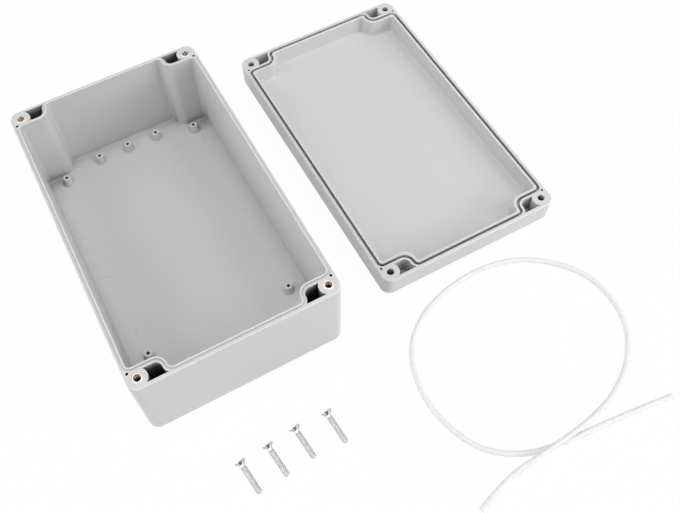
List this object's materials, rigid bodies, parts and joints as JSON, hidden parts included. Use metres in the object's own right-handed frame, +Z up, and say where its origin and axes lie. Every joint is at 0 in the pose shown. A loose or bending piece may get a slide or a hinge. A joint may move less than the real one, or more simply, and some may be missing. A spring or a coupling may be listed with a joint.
{
  "type": "junction box",
  "caption": "Rectangular moulded screw-down junction box, open: deep base with standoffs and corner inserts, grooved cover upside down, countersunk screws and a loose sealing cord.",
  "frame": {"origin": "centre of the base's underside, where the box stands on the ground", "axes": "+Z up out of the open base, Y along the box's length, X across it towards the cover lying beside it"},
  "size_m": [0.274, 0.3325, 0.0603],
  "materials": {
    "moulded_body": "satin moulded",
    "moulded_cover": "satin moulded",
    "sealing_cord": "translucent silicone",
    "insert": "turned",
    "screw": "bright zinc plate"
  },
  "bodies": {
    "root": {"enclosure_base": "moulded_body", "cover": "moulded_cover", "sealing_cord": "sealing_cord", "threaded_insert_1": "insert", "threaded_insert_2": "insert", "threaded_insert_3": "insert", "threaded_insert_4": "insert", "cover_screw_1": "screw", "cover_screw_2": "screw", "cover_screw_3": "screw", "cover_screw_4": "screw"}
  },
  "joints": []
}
